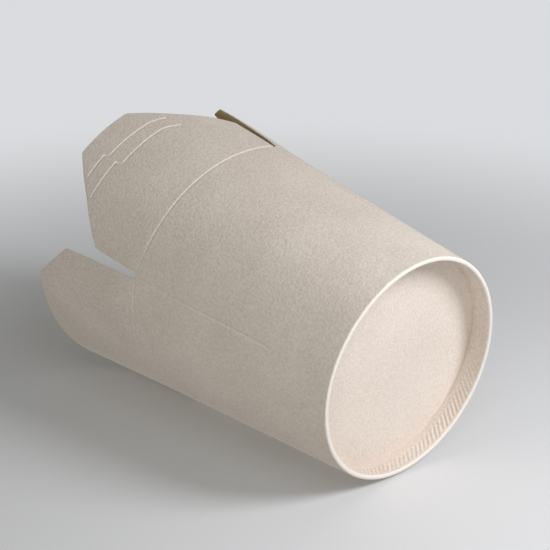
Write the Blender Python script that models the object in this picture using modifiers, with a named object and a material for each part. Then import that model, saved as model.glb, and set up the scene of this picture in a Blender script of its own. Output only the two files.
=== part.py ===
"""Round-based paper food tub with four fold-in flaps.

A cone of board is rolled, lapped and glued down one side. Its bottom edge folds up and
inwards round the skirt of a recessed base disc and is knurled to grip it. Four slits at
the mouth part the cone into two wide flaps and two narrower ones, hinged on curved creases.

Units are metres. +Z points from the base to the mouth, and the tub stands on z = 0 with
its axis on the origin. The front flap, with the lock scores, is on the -Y side.
"""

import math

import bmesh
import bpy
from mathutils import Matrix, Vector

# Wall and base
BASE_RADIUS = 0.0425
WALL_TAPER = math.radians(5.0)
BOARD = 0.0004
BASE_BOARD = 0.00035
SEAT_GAP = 0.000275
FOLD_HEIGHT = 0.0083
FOLD_ROUND = 0.0003
DISC_HEIGHT = 0.0089
DISC_BEND = 0.0005
SKIRT_CLEARANCE = 0.0005

# Knurl pressed into the folded band: its slant is counted in ribs
KNURL_COUNT = 120
KNURL_LOW = 0.0010
KNURL_HIGH = 0.0063
KNURL_RIB = 0.00032
KNURL_DEPTH = 0.00014
KNURL_SLANT_RIBS = 2

# Mouth, slits and creases
CREASE_HEIGHT = 0.0926
CREASE_RISE = 0.0018
CREASE_GAP = 0.0003
CORNER_ANGLE = math.radians(47.2)
SLIT_WIDTH = 0.0016
SLIT_ROOT_DROP = 0.0003
SLIT_CUTTER_LENGTH = 0.006
STRIP_ANGLE = math.radians(3.0)
FLAP_FLARE = math.radians(2.0)
FLARE_ANGLE = math.radians(45.0)
CORNER_ROUND = 0.0016
STRAIGHT_ENOUGH = math.radians(172.0)

# Wide flaps, front and back: sizes are measured on the outer face
WIDE_LENGTH = 0.0516
WIDE_SIDE = 0.0235
WIDE_SIDE_SPREAD = 0.0027
WIDE_END_WIDTH = 0.0246
WIDE_EDGE_HOLLOW = 0.0009

# Narrow flaps, left and right
NARROW_LENGTH = 0.0522
NARROW_SIDE = 0.0381
NARROW_SIDE_SPREAD = 0.0020
NARROW_END_WIDTH = 0.0484
NARROW_EDGE_HOLLOW = 0.0

# Scored lines: the lock scores cross the front flap, at heights above its crease
SCORE_WIDTH = 0.00044
SCORE_DEPTH = 0.00014
LOCK_OUTER = 0.0419
LOCK_OUTER_START = math.radians(-19.4)
LOCK_INNER = 0.0352
LOCK_INNER_START = math.radians(-26.2)
LOCK_JOG = 0.0021
LOCK_JOG_ANGLE = math.radians(-8.3)
LOCK_JOG_WIDTH = math.radians(0.9)
LOCK_TURN_ANGLE = math.radians(15.0)
LOCK_END_ANGLE = math.radians(21.7)
LOCK_END_DROP = 0.0012
BODY_CREASE_BOTTOM = 0.029
SECOND_CREASE = 0.0025
SECOND_CREASE_HALF_ANGLE = math.radians(30.0)

# Glued side lap
LAP_WIDTH = 0.009
LAP_STEP = 0.0003
LAP_SINK = 0.00012
LAP_BOTTOM = 0.004
LAP_TOP_CLEARANCE = 0.004
LAP_FROM_SLIT = math.radians(2.0)

HINGE_INSET = 0.0001
SAME_POINT = 0.00001
WELD_DISTANCE = 0.00002
SHARP_ANGLE = math.radians(35.0)

FRONT = math.radians(-90.0)
RIGHT = math.radians(0.0)
BACK = math.radians(90.0)
LEFT = math.radians(180.0)

BAND_INNER_RADIUS = BASE_RADIUS - 2 * BOARD - BASE_BOARD - 2 * SEAT_GAP
SKIRT_INNER_RADIUS = BAND_INNER_RADIUS + BOARD + SEAT_GAP
NARROW_HALF_ANGLE = math.pi / 2 - CORNER_ANGLE


def clear_scene():
    for old in list(bpy.data.objects):
        bpy.data.objects.remove(old, do_unlink=True)


def make_collection(name):
    collection = bpy.data.collections.new(name)
    bpy.context.scene.collection.children.link(collection)
    return collection


def make_material(name, colour, roughness):
    material = bpy.data.materials.new(name)
    material.use_nodes = True
    shader = material.node_tree.nodes["Principled BSDF"]
    shader.inputs["Base Color"].default_value = (*colour, 1.0)
    shader.inputs["Roughness"].default_value = roughness
    shader.inputs["Metallic"].default_value = 0.0
    material.diffuse_color = (*colour, 1.0)
    return material


def wall_radius(z):
    """Outer radius of the cone at height z."""
    return BASE_RADIUS + z * math.tan(WALL_TAPER)


def crease_height(angle, half_angle):
    """Height of a flap's foot crease: lowest at the flap's middle, highest at its slits."""
    return CREASE_HEIGHT + CREASE_RISE * (angle / half_angle) ** 2


def nearest_flap(angle):
    """Angle from the nearest flap's middle, and that flap's half angle at the crease."""
    for middle in (FRONT, RIGHT, BACK, LEFT):
        half_angle = CORNER_ANGLE if middle in (FRONT, BACK) else NARROW_HALF_ANGLE
        away = math.remainder(angle - middle, 2 * math.pi)
        if abs(away) <= half_angle + 1e-6:
            return away, half_angle
    raise ValueError("angle lies on no flap")


def add_object(name, mesh, collection):
    piece = bpy.data.objects.new(name, mesh)
    collection.objects.link(piece)
    return piece


def shade(piece, material):
    piece.data.materials.clear()
    piece.data.materials.append(material)
    piece.data.shade_smooth()
    piece.data.set_sharp_from_angle(angle=SHARP_ANGLE)


def turned_mesh(name, profile, closed):
    """Mesh of a profile of (radius, z) points turned about Z in steps of one knurl rib."""
    mesh = bpy.data.meshes.new(name + "_profile")
    count = len(profile)
    edges = [(i, (i + 1) % count) for i in range(count if closed else count - 1)]
    mesh.from_pydata([(radius, 0.0, z) for radius, z in profile], edges, [])
    turned = bpy.data.objects.new(name + "_profile", mesh)
    bpy.context.scene.collection.objects.link(turned)
    screw = turned.modifiers.new("turn", "SCREW")
    screw.steps = KNURL_COUNT
    screw.render_steps = KNURL_COUNT
    screw.use_merge_vertices = True
    screw.merge_threshold = WELD_DISTANCE
    screw.use_normal_calculate = True
    depsgraph = bpy.context.evaluated_depsgraph_get()
    result = bpy.data.meshes.new_from_object(turned.evaluated_get(depsgraph))
    result.name = name
    bpy.data.objects.remove(turned, do_unlink=True)
    return result


def cut(piece, cutter, operation="DIFFERENCE"):
    boolean = piece.modifiers.new(cutter.name, "BOOLEAN")
    boolean.object = cutter
    boolean.operation = operation
    boolean.solver = "EXACT"


def hide_cutter(cutter):
    cutter.hide_render = True
    cutter.display_type = "WIRE"


def score_cutter(name, points, outward, collection):
    """Rod of V section along points on the outer face: it stands as far out as it cuts in."""
    bm = bmesh.new()
    rings = []
    for index, point in enumerate(points):
        before = points[max(index - 1, 0)]
        after = points[min(index + 1, len(points) - 1)]
        across = (after - before).cross(outward[index]).normalized() * SCORE_WIDTH
        rise = outward[index] * SCORE_DEPTH
        ring = [
            bm.verts.new(point + across + rise),
            bm.verts.new(point - rise),
            bm.verts.new(point - across + rise),
        ]
        rings.append(ring)
    for ring, following in zip(rings, rings[1:]):
        for side in range(3):
            following_side = (side + 1) % 3
            bm.faces.new((ring[side], ring[following_side], following[following_side], following[side]))
    bm.faces.new(rings[0])
    bm.faces.new(rings[-1])
    bmesh.ops.recalc_face_normals(bm, faces=bm.faces)
    mesh = bpy.data.meshes.new(name)
    bm.to_mesh(mesh)
    bm.free()
    cutter = add_object(name, mesh, collection)
    hide_cutter(cutter)
    return cutter


def wall_profile(top):
    """Section of the wall, its folded bottom edge and the band inside the base."""
    slot_outer = wall_radius(BOARD) - BOARD
    inner = BAND_INNER_RADIUS
    return [
        (wall_radius(top), top),
        (BASE_RADIUS, FOLD_ROUND),
        (BASE_RADIUS - FOLD_ROUND * 0.3, FOLD_ROUND * 0.3),
        (BASE_RADIUS - FOLD_ROUND, 0.0),
        (inner + FOLD_ROUND, 0.0),
        (inner + FOLD_ROUND * 0.3, FOLD_ROUND * 0.3),
        (inner, FOLD_ROUND),
        (inner, KNURL_LOW),
        (inner, KNURL_HIGH),
        (inner, FOLD_HEIGHT),
        (inner + BOARD, FOLD_HEIGHT),
        (inner + BOARD, BOARD),
        (slot_outer, BOARD),
        (wall_radius(top) - BOARD, top),
    ]


def band_ring(bm, z):
    """Vertices of the band's inner face at height z, in order round the base."""
    step = 2 * math.pi / KNURL_COUNT
    ring = [None] * KNURL_COUNT
    for vertex in bm.verts:
        off_radius = abs(vertex.co.xy.length - BAND_INNER_RADIUS)
        if off_radius < SAME_POINT and abs(vertex.co.z - z) < SAME_POINT:
            ring[round(math.atan2(vertex.co.y, vertex.co.x) / step) % KNURL_COUNT] = vertex
    return ring


def press_knurl(bm):
    """Slants the band's middle row round the base and presses a groove into each face of it."""
    low = band_ring(bm, KNURL_LOW)
    high = band_ring(bm, KNURL_HIGH)
    both = set(low) | set(high)
    row = [f for f in bm.faces if all(v in both for v in f.verts)]
    bmesh.ops.delete(bm, geom=row, context="FACES_ONLY")
    loose = [e for e in bm.edges if not e.link_faces]
    bmesh.ops.delete(bm, geom=loose, context="EDGES")
    slanted = []
    for index in range(KNURL_COUNT):
        shifted = index - KNURL_SLANT_RIBS
        corners = (low[index - 1], high[shifted - 1], high[shifted], low[index])
        slanted.append(bm.faces.new(corners))
    bmesh.ops.recalc_face_normals(bm, faces=bm.faces)
    bmesh.ops.inset_individual(bm, faces=slanted, thickness=KNURL_RIB, depth=-KNURL_DEPTH)


def scallop_mouth(bm, top):
    """Drops the mouth's edge from its turned height to the curved creases."""
    for vertex in bm.verts:
        if abs(vertex.co.z - top) > SAME_POINT:
            continue
        angle = math.atan2(vertex.co.y, vertex.co.x)
        away, half_angle = nearest_flap(angle)
        inset = wall_radius(top) - vertex.co.xy.length
        vertex.co.z = crease_height(away, half_angle)
        radius = wall_radius(vertex.co.z) - inset
        vertex.co.x = radius * math.cos(angle)
        vertex.co.y = radius * math.sin(angle)


def surface_point(angle, z):
    radius = wall_radius(z)
    return Vector((radius * math.cos(angle), radius * math.sin(angle), z))


def surface_normal(angle):
    level = math.cos(WALL_TAPER)
    return Vector((level * math.cos(angle), level * math.sin(angle), -math.sin(WALL_TAPER)))


def lap_strip(collection):
    """Outer end of the rolled board, glued over the inner end beside a slit at the back."""
    angle_width = LAP_WIDTH / wall_radius(CREASE_HEIGHT)
    edge = BACK - CORNER_ANGLE - LAP_FROM_SLIT
    height = CREASE_HEIGHT - LAP_TOP_CLEARANCE - LAP_BOTTOM
    bm = bmesh.new()
    bmesh.ops.create_grid(bm, x_segments=3, y_segments=1, size=0.5)
    for vertex in bm.verts:
        angle = edge - angle_width * (vertex.co.x + 0.5)
        z = LAP_BOTTOM + height * (vertex.co.y + 0.5)
        vertex.co = surface_point(angle, z) - surface_normal(angle) * LAP_SINK
    bmesh.ops.recalc_face_normals(bm, faces=bm.faces)
    outward = surface_normal(edge - angle_width / 2)
    if bm.faces[:][0].normal.dot(outward) < 0:
        bmesh.ops.reverse_faces(bm, faces=bm.faces)
    mesh = bpy.data.meshes.new("lap_strip")
    bm.to_mesh(mesh)
    bm.free()
    strip = add_object("lap_strip", mesh, collection)
    thicken = strip.modifiers.new("board", "SOLIDIFY")
    thicken.thickness = LAP_SINK + LAP_STEP
    thicken.offset = 1.0
    hide_cutter(strip)
    return strip


def slit_root(name, angle, top, collection):
    """Pin that rounds the bottom end of one slit in the mouth's edge."""
    radius = SLIT_WIDTH / 2
    bm = bmesh.new()
    bmesh.ops.create_cone(
        bm, cap_ends=True, segments=16, radius1=radius, radius2=radius, depth=SLIT_CUTTER_LENGTH
    )
    mesh = bpy.data.meshes.new(name)
    bm.to_mesh(mesh)
    bm.free()
    root = add_object(name, mesh, collection)
    root.location = surface_point(angle, top - SLIT_ROOT_DROP + radius)
    root.rotation_euler = (0.0, math.pi / 2, angle)
    hide_cutter(root)
    return root


def body_crease(name, angle, top, collection):
    """Crease that runs down the wall from one slit."""
    points = [surface_point(angle, BODY_CREASE_BOTTOM), surface_point(angle, top - SLIT_WIDTH)]
    return score_cutter(name, points, [surface_normal(angle)] * 2, collection)


def build_wall(parts, tools, material):
    """Rolled cone with its folded and knurled bottom edge, creases, lap and slit ends."""
    top = CREASE_HEIGHT + CREASE_RISE
    mesh = turned_mesh("side_wall", wall_profile(top), closed=True)
    bm = bmesh.new()
    bm.from_mesh(mesh)
    bmesh.ops.remove_doubles(bm, verts=bm.verts, dist=WELD_DISTANCE)
    press_knurl(bm)
    scallop_mouth(bm, top)
    bmesh.ops.recalc_face_normals(bm, faces=bm.faces)
    bm.to_mesh(mesh)
    bm.free()
    wall = add_object("side_wall", mesh, parts)
    cut(wall, lap_strip(tools), "UNION")
    corners = [middle + side * CORNER_ANGLE for middle in (FRONT, BACK) for side in (-1, 1)]
    for index, angle in enumerate(corners):
        cut(wall, body_crease(f"body_crease_{index}", angle, top, tools))
        cut(wall, slit_root(f"slit_root_{index}", angle, top, tools))
    shade(wall, material)


def disc_profile():
    """Section of the base disc and its skirt, which turns down into the folded band."""
    inner = SKIRT_INNER_RADIUS
    outer = inner + BASE_BOARD
    low = BOARD + SKIRT_CLEARANCE
    under = DISC_HEIGHT
    over = DISC_HEIGHT + BASE_BOARD
    bend = DISC_BEND
    wide_bend = DISC_BEND + BASE_BOARD
    steps = 4
    quarter = [math.pi / 2 * i / steps for i in range(steps + 1)]
    over_bend = [
        (outer - wide_bend + wide_bend * math.sin(a), over - wide_bend + wide_bend * math.cos(a))
        for a in quarter
    ]
    under_bend = [
        (inner - bend + bend * math.cos(a), under - bend + bend * math.sin(a)) for a in quarter
    ]
    return [(0.0, over)] + over_bend + [(outer, low), (inner, low)] + under_bend + [(0.0, under)]


def build_disc(parts, material):
    mesh = turned_mesh("base_disc", disc_profile(), closed=False)
    bm = bmesh.new()
    bm.from_mesh(mesh)
    bmesh.ops.remove_doubles(bm, verts=bm.verts, dist=WELD_DISTANCE)
    bmesh.ops.recalc_face_normals(bm, faces=bm.faces)
    bm.to_mesh(mesh)
    bm.free()
    shade(add_object("base_disc", mesh, parts), material)


def rounded(points, radius):
    """Replaces each inner corner of an open outline with a short arc."""
    result = [points[0]]
    steps = 4
    for before, corner, after in zip(points, points[1:], points[2:]):
        towards = (before - corner).normalized()
        away = (after - corner).normalized()
        turn = towards.angle(away)
        if turn > STRAIGHT_ENOUGH:
            result.append(corner)
            continue
        shorter_side = min((before - corner).length, (after - corner).length)
        back = min(radius / math.tan(turn / 2), shorter_side / 2)
        start = corner + towards * back
        end = corner + away * back
        for step in range(steps + 1):
            t = step / steps
            result.append(start * (1 - t) ** 2 + corner * 2 * t * (1 - t) + end * t ** 2)
    result.append(points[-1])
    return result


class FlapShape:
    """Outline and curved outer face of one flap, in angle from its middle and height."""

    def __init__(self, half_angle, length, side, side_spread, end_width, edge_hollow):
        self.half_angle = half_angle
        self.end_z = CREASE_HEIGHT + length
        self.side_z = CREASE_HEIGHT + side
        self.edge_hollow = edge_hollow
        crease_radius = wall_radius(CREASE_HEIGHT + CREASE_RISE)
        self.foot_angle = half_angle - SLIT_WIDTH / 2 / crease_radius
        self.side_angle = half_angle - side_spread / wall_radius(self.side_z)
        self.end_angle = end_width / 2 / wall_radius(self.end_z)

    def foot(self, angle):
        return crease_height(angle, self.half_angle) + CREASE_GAP

    def outline(self):
        """Closed outline as (width at the crease radius, height) points."""
        scale = wall_radius(CREASE_HEIGHT)
        foot_corner = Vector((self.foot_angle * scale, self.foot(self.foot_angle)))
        side_corner = Vector((self.side_angle * scale, self.side_z))
        end_corner = Vector((self.end_angle * scale, self.end_z))
        middle = (side_corner + end_corner) / 2
        slope = (end_corner - side_corner).normalized()
        hollow = middle - Vector((slope.y, -slope.x)) * self.edge_hollow
        right = [foot_corner, side_corner, hollow, end_corner]
        left = [Vector((-p.x, p.y)) for p in reversed(right)]
        upper = rounded(right + left, CORNER_ROUND)
        strips = int(self.foot_angle / STRIP_ANGLE)
        foot_angles = [STRIP_ANGLE * i for i in range(-strips, strips + 1)]
        lower = [Vector((a * scale, self.foot(a))) for a in foot_angles]
        return upper + lower

    def place(self, angle, z):
        """Point of the outer face: along the cone's line from the foot, with a slight flare."""
        rise = max(z - self.foot(angle), 0.0)
        flare = FLAP_FLARE * (angle / FLARE_ANGLE) ** 2
        radius = wall_radius(z) + rise * math.tan(flare)
        return Vector((radius * math.cos(angle), radius * math.sin(angle), z))

    def hinge(self):
        """Chord through the inner corners of the foot: distance from the axis, and height."""
        z = self.foot(self.foot_angle)
        inner = wall_radius(z) - BOARD
        return inner * math.cos(self.foot_angle) - HINGE_INSET, z


WIDE = FlapShape(
    CORNER_ANGLE, WIDE_LENGTH, WIDE_SIDE, WIDE_SIDE_SPREAD, WIDE_END_WIDTH, WIDE_EDGE_HOLLOW
)
NARROW = FlapShape(
    NARROW_HALF_ANGLE, NARROW_LENGTH, NARROW_SIDE, NARROW_SIDE_SPREAD, NARROW_END_WIDTH, NARROW_EDGE_HOLLOW
)


def flap_mesh(name, shape):
    """Outer face of a flap that faces +X, sliced into strips along the cone's lines and bent."""
    scale = wall_radius(CREASE_HEIGHT)
    bm = bmesh.new()
    corners = [bm.verts.new((point.x, point.y, 0.0)) for point in shape.outline()]
    bm.faces.new(corners)
    strips = int(shape.foot_angle / STRIP_ANGLE)
    for index in range(-strips, strips + 1):
        bmesh.ops.bisect_plane(
            bm,
            geom=bm.verts[:] + bm.edges[:] + bm.faces[:],
            dist=SAME_POINT,
            plane_co=(STRIP_ANGLE * index * scale, 0.0, 0.0),
            plane_no=(1.0, 0.0, 0.0),
        )
    for vertex in bm.verts:
        vertex.co = shape.place(vertex.co.x / scale, vertex.co.y)
    bmesh.ops.triangulate(bm, faces=bm.faces)
    bmesh.ops.recalc_face_normals(bm, faces=bm.faces)
    middle = min(bm.faces, key=lambda f: abs(f.calc_center_median().y))
    if middle.normal.x < 0:
        bmesh.ops.reverse_faces(bm, faces=bm.faces)
    distance, height = shape.hinge()
    bmesh.ops.translate(bm, verts=bm.verts, vec=(-distance, 0.0, -height))
    mesh = bpy.data.meshes.new(name)
    bm.to_mesh(mesh)
    bm.free()
    return mesh


def build_flap(name, shape, direction, routes, parts, tools, material):
    """Flap with its origin on its hinge line, turned to face a direction, and its scores.

    A score's route is a list of (angle from the flap's middle, height) points.
    """
    flap = add_object(name, flap_mesh(name, shape), parts)
    distance, height = shape.hinge()
    flap.location = (distance * math.cos(direction), distance * math.sin(direction), height)
    flap.rotation_euler = (0.0, 0.0, direction)
    thicken = flap.modifiers.new("board", "SOLIDIFY")
    thicken.thickness = BOARD
    thicken.offset = -1.0
    thicken.use_even_offset = True
    turn = Matrix.Rotation(direction, 3, "Z")
    for index, route in enumerate(routes):
        points = [turn @ shape.place(angle, z) for angle, z in route]
        outward = [turn @ surface_normal(angle) for angle, _ in route]
        cut(flap, score_cutter(f"{name}_score_{index}", points, outward, tools))
    shade(flap, material)


def level_run(start, end, z, drop=0.0):
    """Route points from one angle to another, no further apart than a strip of the flap.

    The run starts level, and curves down to end lower by the drop.
    """
    steps = math.ceil((end - start) / STRIP_ANGLE)
    shares = [step / steps for step in range(steps + 1)]
    return [(start + (end - start) * t, z - drop * t * t) for t in shares]


def lock_route(start_angle, distance):
    """Lock score: a level line with a jog, whose far end bends back towards the crease."""
    high = CREASE_HEIGHT + distance
    low = high - LOCK_JOG
    before_jog = level_run(start_angle, LOCK_JOG_ANGLE - LOCK_JOG_WIDTH / 2, high)
    after_jog = level_run(LOCK_JOG_ANGLE + LOCK_JOG_WIDTH / 2, LOCK_TURN_ANGLE, low)
    bend = level_run(LOCK_TURN_ANGLE, LOCK_END_ANGLE, low, LOCK_END_DROP)
    return before_jog + after_jog + bend[1:]


def second_crease_route():
    """Second crease of a narrow flap, a little above its foot and following it."""
    run = level_run(-SECOND_CREASE_HALF_ANGLE, SECOND_CREASE_HALF_ANGLE, SECOND_CREASE)
    return [(angle, NARROW.foot(angle) + rise) for angle, rise in run]


def main():
    clear_scene()
    parts = make_collection("paper_food_tub")
    tools = make_collection("cutters")
    wall_paper = make_material("wall_paper", (0.72, 0.68, 0.62), 0.85)
    base_paper = make_material("base_paper", (0.80, 0.76, 0.71), 0.85)
    wide_paper = make_material("wide_flap_paper", (0.70, 0.66, 0.60), 0.85)
    narrow_paper = make_material("narrow_flap_paper", (0.68, 0.64, 0.58), 0.85)

    build_wall(parts, tools, wall_paper)
    build_disc(parts, base_paper)

    locks = [lock_route(LOCK_OUTER_START, LOCK_OUTER), lock_route(LOCK_INNER_START, LOCK_INNER)]
    build_flap("front_flap", WIDE, FRONT, locks, parts, tools, wide_paper)
    build_flap("back_flap", WIDE, BACK, [], parts, tools, wide_paper)
    crease = [second_crease_route()]
    build_flap("left_flap", NARROW, LEFT, crease, parts, tools, narrow_paper)
    build_flap("right_flap", NARROW, RIGHT, crease, parts, tools, narrow_paper)


main()
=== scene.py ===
# %% [markdown]
# # A paper food tub, from flat board to finished look
# This lesson dresses a take-away tub of cream-white board. A real one starts as a flat blank
# that a press scores and cuts. It is then rolled into a cone and glued, its bottom edge folds
# up round a separate base disc and is knurled to grip it, and four flaps close the mouth.
# The measured solids of the tub come in first and stay as they are. In the picture a sheet then
# stands in for each, with what a plain solid lacks: pressed scores, flutes, cut edges and fibre.

# %% Load the measured tub
import math

import bmesh
import bpy
from mathutils import Matrix, Vector


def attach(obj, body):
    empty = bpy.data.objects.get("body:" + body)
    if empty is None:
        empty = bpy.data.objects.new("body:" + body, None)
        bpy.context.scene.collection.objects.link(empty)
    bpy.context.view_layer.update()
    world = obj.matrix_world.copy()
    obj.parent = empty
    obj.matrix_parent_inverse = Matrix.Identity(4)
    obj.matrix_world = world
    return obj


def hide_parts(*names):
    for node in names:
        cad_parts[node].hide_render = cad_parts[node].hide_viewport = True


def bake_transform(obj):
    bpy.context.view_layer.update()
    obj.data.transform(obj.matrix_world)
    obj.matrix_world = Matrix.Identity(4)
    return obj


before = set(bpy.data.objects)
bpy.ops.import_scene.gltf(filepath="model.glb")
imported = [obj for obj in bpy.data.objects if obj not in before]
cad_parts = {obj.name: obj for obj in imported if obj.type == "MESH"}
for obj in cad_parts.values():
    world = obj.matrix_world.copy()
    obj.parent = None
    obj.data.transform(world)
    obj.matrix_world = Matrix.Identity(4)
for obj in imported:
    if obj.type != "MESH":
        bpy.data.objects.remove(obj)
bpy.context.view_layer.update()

scene = bpy.context.scene

# %% [markdown]
# ## The sizes that the sheets share
# All sheets lie on one cone. It stands on a rim 85 mm across and opens by 5 degrees, so the
# radius at any height follows from two numbers. Everything that is cut or pressed into the
# board is then placed by an angle round the cone and a height above the table.

# %% The cone and the mouth
BASE_RADIUS = 0.0425
TAPER = math.tan(math.radians(5.0))
BOARD = 0.0004

CREASE_HEIGHT = 0.0926
CREASE_RISE = 0.0018
CORNER = math.radians(46.8)
SIDE_CORNER = math.pi / 2 - CORNER
SLIT_RADIUS = 0.0011
SLIT_CENTRE = 0.0953

FRONT, RIGHT, BACK, LEFT = (math.radians(a) for a in (-90, 0, 90, 180))
MIDDLES = {"front_flap": FRONT, "right_flap": RIGHT, "back_flap": BACK, "left_flap": LEFT}


def cone_radius(z):
    return BASE_RADIUS + z * TAPER


def smooth(low, high, value):
    """0 below low, 1 above high, and a soft step between."""
    t = min(max((value - low) / (high - low), 0.0), 1.0)
    return t * t * (3 - 2 * t)


def nearest_flap(angle):
    """How far an angle lies from the nearest flap's middle, and that flap's half angle."""
    found = []
    for name, middle in MIDDLES.items():
        half = CORNER if name in ("front_flap", "back_flap") else SIDE_CORNER
        away = math.remainder(angle - middle, 2 * math.pi)
        found.append((abs(away) / half, away, half))
    _, away, half = min(found)
    return away, half


def crease_z(away, half):
    """A flap's foot is a curved crease: lowest at the flap's middle."""
    return CREASE_HEIGHT + CREASE_RISE * (away / half) ** 2


SLIT_ANGLE = SLIT_RADIUS / cone_radius(CREASE_HEIGHT + CREASE_RISE)
print("Mouth radius in mm:", round(cone_radius(CREASE_HEIGHT) * 1000, 2))

# %% [markdown]
# ## One corner that is pressed square
# Card keeps the traces of its folding. On this tub the mouth's front right corner has been
# pinched: it stands out by a millimetre, and the board beside it is swung a little round. The
# wall and the flaps must follow that together, or they would part at the crease, so one rule
# gives the shift for any angle and height. It fades round the cone and down the wall, and the
# swing also fades up the flaps.

# %% The pressed corner
SQUARE_CORNER = FRONT + CORNER
SQUARE_REACH = math.radians(26.0)
SQUARE_ROUND = 0.02
SQUARE_FOOT = 0.050
SQUARE_OUT = 0.0010
SQUARE_SWING = math.radians(1.6)
SWING_FADE = (CREASE_HEIGHT + 0.002, CREASE_HEIGHT + 0.022)


def square_up(angle, z, more=0.0):
    """How far board stands out, and swings round, beside the pinched corner."""
    away = math.hypot(math.remainder(angle - SQUARE_CORNER, 2 * math.pi), SQUARE_ROUND) - SQUARE_ROUND
    share = max(1.0 - away / SQUARE_REACH, 0.0) ** 2 * smooth(SQUARE_FOOT, CREASE_HEIGHT, z)
    swing = SQUARE_SWING * share * (1.0 - smooth(*SWING_FADE, z))
    return (SQUARE_OUT + more) * share, swing


for beside in (0, 10, 20):
    out, swing = square_up(SQUARE_CORNER + math.radians(beside), CREASE_HEIGHT)
    print(beside, "degrees beside the corner:", round(out * 1000, 2), "mm out")

# %% [markdown]
# ## How a pressed line looks
# A score is a line that a blunt steel rule has pressed into the board, so that it folds there.
# It isn't cut through: the surface dips by about a third of a millimetre and rises again.
# A bump map could fake it, but then it would vanish on the outline and in the exported model,
# so here each score is a real groove, and the mesh is made fine just where one runs. Not every
# crease at the mouth is equally firm. A wide flap's is firm but for one end, where it fades
# out, and a narrow flap's is faint in its middle and firmer towards both ends.

# %% The groove's section
SCORE_HALF = 0.00058
SCORE_DEPTH = 0.00033
FADING_END = (0.0005, 0.0140)
FAINT_MIDDLE = (0.008, 0.016)
FAINT_STRENGTH = 0.3


def groove(distance, half=SCORE_HALF, depth=SCORE_DEPTH):
    """Depth of a score at a distance from its middle line."""
    return depth * (1.0 - smooth(0.0, half, abs(distance)))


def crease_strength(away, half):
    """How firm a flap's crease is, as a share, at an angle from the flap's middle."""
    from_end = (half - abs(away)) * cone_radius(CREASE_HEIGHT)
    if half == CORNER:
        return smooth(*FADING_END, from_end) if away < 0 else 1.0
    return FAINT_STRENGTH + (1.0 - FAINT_STRENGTH) * (1.0 - smooth(*FAINT_MIDDLE, from_end))


print("Score depth in mm at 0, 0.2 and 0.4:", [round(groove(d) * 1000, 3) for d in (0, 0.0002, 0.0004)])

# %% [markdown]
# ## Small helpers for working by hand in code
# Blender's operators act on what is selected, so each step says plainly what it selects. One
# helper picks edges, faces or vertices by their place, and another extrudes a ring of edges to
# a new height and size, as one would drag it up by hand and scale it.

# %% Pick, extrude and finish
def start_clean():
    if bpy.context.object and bpy.context.object.mode != "OBJECT":
        bpy.ops.object.mode_set(mode="OBJECT")
    bpy.ops.object.select_all(action="DESELECT")


def name_piece(name):
    piece = bpy.context.object
    piece.name = name
    piece.data.name = name
    return piece


def pick(piece, kind, test):
    """In edit mode, selects each vertex, edge or face whose vertices' places pass the test."""
    bpy.context.view_layer.objects.active = piece
    bpy.ops.object.mode_set(mode="EDIT")
    bpy.ops.mesh.select_mode(type=kind)
    bpy.ops.mesh.select_all(action="DESELECT")
    mesh = bmesh.from_edit_mesh(piece.data)
    items = {"VERT": mesh.verts, "EDGE": mesh.edges, "FACE": mesh.faces}[kind]
    chosen = 0
    for item in items:
        places = [item.co] if kind == "VERT" else [v.co for v in item.verts]
        if test(places):
            item.select_set(True)
            chosen += 1
    mesh.select_flush_mode()
    bmesh.update_edit_mesh(piece.data)
    return chosen


def drag_ring(step, size, centre):
    """Extrudes the selected edges by a step and scales the new ones about a centre."""
    bpy.ops.mesh.extrude_region_move(TRANSFORM_OT_translate={"value": step})
    bpy.ops.transform.resize(value=size, center_override=centre)


def split_edges(piece, cuts, test):
    """Cuts the edges that pass the test, and the faces between them, into strips."""
    chosen = pick(piece, "EDGE", test)
    bpy.ops.mesh.subdivide(number_cuts=cuts, quadcorner="INNERVERT")
    bpy.ops.object.mode_set(mode="OBJECT")
    return chosen


def apply(piece, kind, **settings):
    """Adds a modifier, sets it and applies it."""
    bpy.context.view_layer.objects.active = piece
    modifier = piece.modifiers.new(kind.lower(), kind)
    for key, value in settings.items():
        setattr(modifier, key, value)
    bpy.ops.object.modifier_apply(modifier=modifier.name)


def face_out(piece, inside):
    """Makes a sheet's faces look away from a point inside the tub."""
    centre = Vector(inside)
    facing = sum((f.center - centre).dot(f.normal) * f.area for f in piece.data.polygons)
    if facing < 0:
        piece.data.flip_normals()


print("Blender", bpy.app.version_string, "is ready to model.")

# %% [markdown]
# ## Fibre grain, a finish that every board shares
# Board is pressed pulp. Close up its colour wanders between paler and darker fibre clumps
# about a millimetre wide, broader clouds drift across it, short fibres lie over each other, and
# the surface is a little uneven, which breaks up the light. It could be a photo of paper, but
# noise textures have no seams and stay sharp at any distance. They go into one node group,
# which every face of the tub then uses with its own colours and strength.

# %% Build the fibre group
FIBRE_SOCKETS = (
    ("Light Fibre", "NodeSocketColor", "INPUT"), ("Dark Fibre", "NodeSocketColor", "INPUT"),
    ("Clump Scale", "NodeSocketFloat", "INPUT"), ("Cloud Amount", "NodeSocketFloat", "INPUT"),
    ("Fibre Amount", "NodeSocketFloat", "INPUT"), ("Color", "NodeSocketColor", "OUTPUT"),
    ("Height", "NodeSocketFloat", "OUTPUT"), ("Roughness", "NodeSocketFloat", "OUTPUT"),
)


def calculate(tree, kind, first, second):
    """Adds a Math node between two values, each a number or another node's output."""
    node = tree.nodes.new("ShaderNodeMath")
    node.operation = kind
    for place_in, value in zip(node.inputs, (first, second)):
        if isinstance(value, float):
            place_in.default_value = value
        else:
            tree.links.new(value, place_in)
    return node.outputs[0]


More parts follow.
